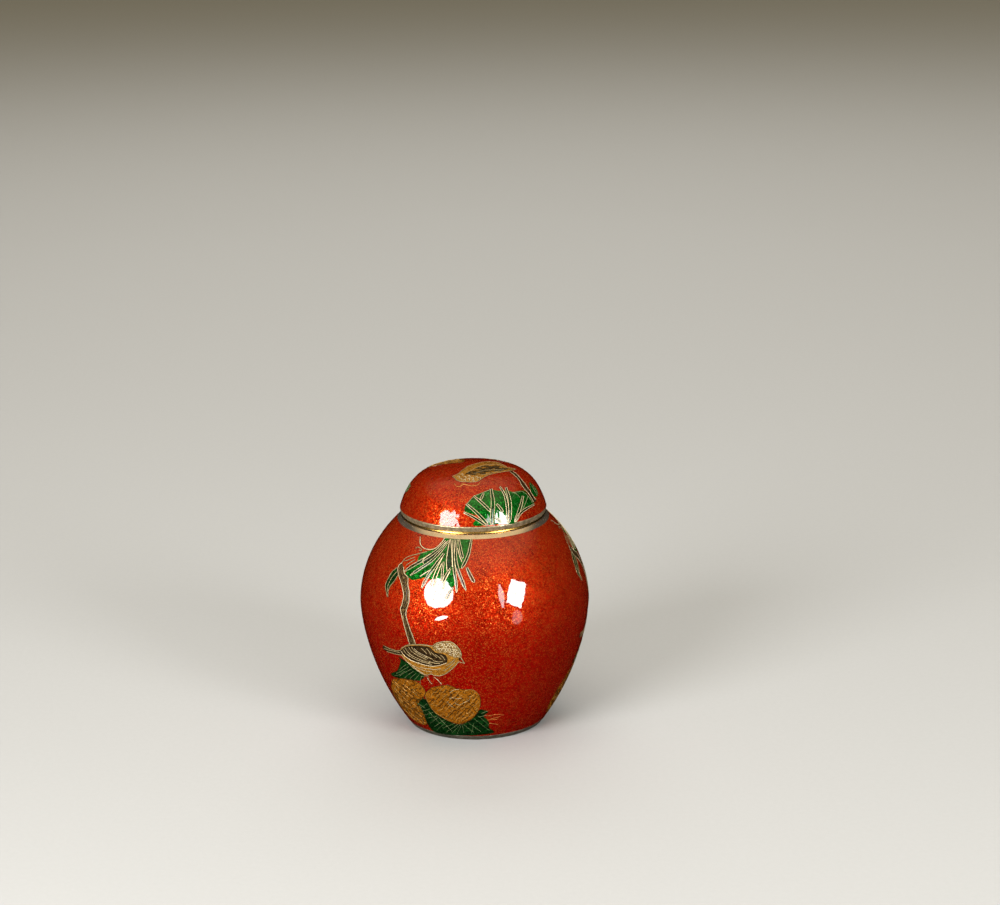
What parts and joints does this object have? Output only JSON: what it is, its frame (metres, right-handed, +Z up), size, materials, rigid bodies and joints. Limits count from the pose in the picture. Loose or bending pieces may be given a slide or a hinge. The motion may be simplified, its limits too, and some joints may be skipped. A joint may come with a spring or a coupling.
{
  "type": "ginger jar",
  "caption": "Round-bellied lidded jar with a low domed lid, brass rims and foot, and enamel pictures set between brass wires; holds small dry goods or stands as ornament.",
  "frame": {"origin": "middle of the foot's underside, on the surface the jar stands on", "axes": "+Z up along the jar's axis; the pictured side faces -Y"},
  "size_m": [0.0866, 0.0866, 0.0999],
  "materials": {
    "copper": "spun copper, covered by enamel",
    "brass": "dulled gilt brass",
    "red_enamel": "glossy sparkling orange-red enamel",
    "turquoise_enamel": "glossy counter-enamel",
    "green_enamel": "glossy emerald enamel",
    "ochre_enamel": "glossy sparkling ochre enamel",
    "brown_enamel": "glossy dark brown enamel"
  },
  "bodies": {
    "jar": {"base_enamel": "turquoise_enamel", "foot_ring": "brass", "front_bird": "brown_enamel", "front_bird_wire": "brass", "front_branch": "brown_enamel", "front_branch_wire": "brass", "front_left_cone": "ochre_enamel", "front_left_cone_wire": "brass", "front_lower_tuft": "green_enamel", "front_lower_tuft_wire": "brass", "front_needle_fan": "green_enamel", "front_needle_fan_wire": "brass", "front_right_cone": "ochre_enamel", "front_right_cone_wire": "brass", "front_tail_tuft": "green_enamel", "front_tail_tuft_wire": "brass", "jar_body": "copper", "jar_enamel": "red_enamel", "jar_lining": "turquoise_enamel", "left_bird": "brown_enamel", "left_bird_wire": "brass", "left_branch": "brown_enamel", "left_branch_wire": "brass", "left_left_cone": "ochre_enamel", "left_left_cone_wire": "brass", "left_lower_tuft": "green_enamel", "left_lower_tuft_wire": "brass", "left_needle_fan": "green_enamel", "left_needle_fan_wire": "brass", "left_right_cone": "ochre_enamel", "left_right_cone_wire": "brass", "left_tail_tuft": "green_enamel", "left_tail_tuft_wire": "brass", "neck_collar": "brass", "right_bird": "brown_enamel", "right_bird_wire": "brass", "right_branch": "brown_enamel", "right_branch_wire": "brass", "right_left_cone": "ochre_enamel", "right_left_cone_wire": "brass", "right_lower_tuft": "green_enamel", "right_lower_tuft_wire": "brass", "right_needle_fan": "green_enamel", "right_needle_fan_wire": "brass", "right_right_cone": "ochre_enamel", "right_right_cone_wire": "brass", "right_tail_tuft": "green_enamel", "right_tail_tuft_wire": "brass", "shoulder_ring": "brass"},
    "lid": {"lid_band": "brass", "lid_bird": "brown_enamel", "lid_bird_wire": "brass", "lid_cone": "ochre_enamel", "lid_cone_wire": "brass", "lid_dome": "copper", "lid_enamel": "red_enamel", "lid_fan": "green_enamel", "lid_fan_wire": "brass", "lid_lining": "turquoise_enamel"}
  },
  "joints": [
    {"name": "lid_lift", "type": "slide", "parent": "jar", "child": "lid", "axis": [0, 0, 1], "range_m": [0, 0.04]}
  ]
}
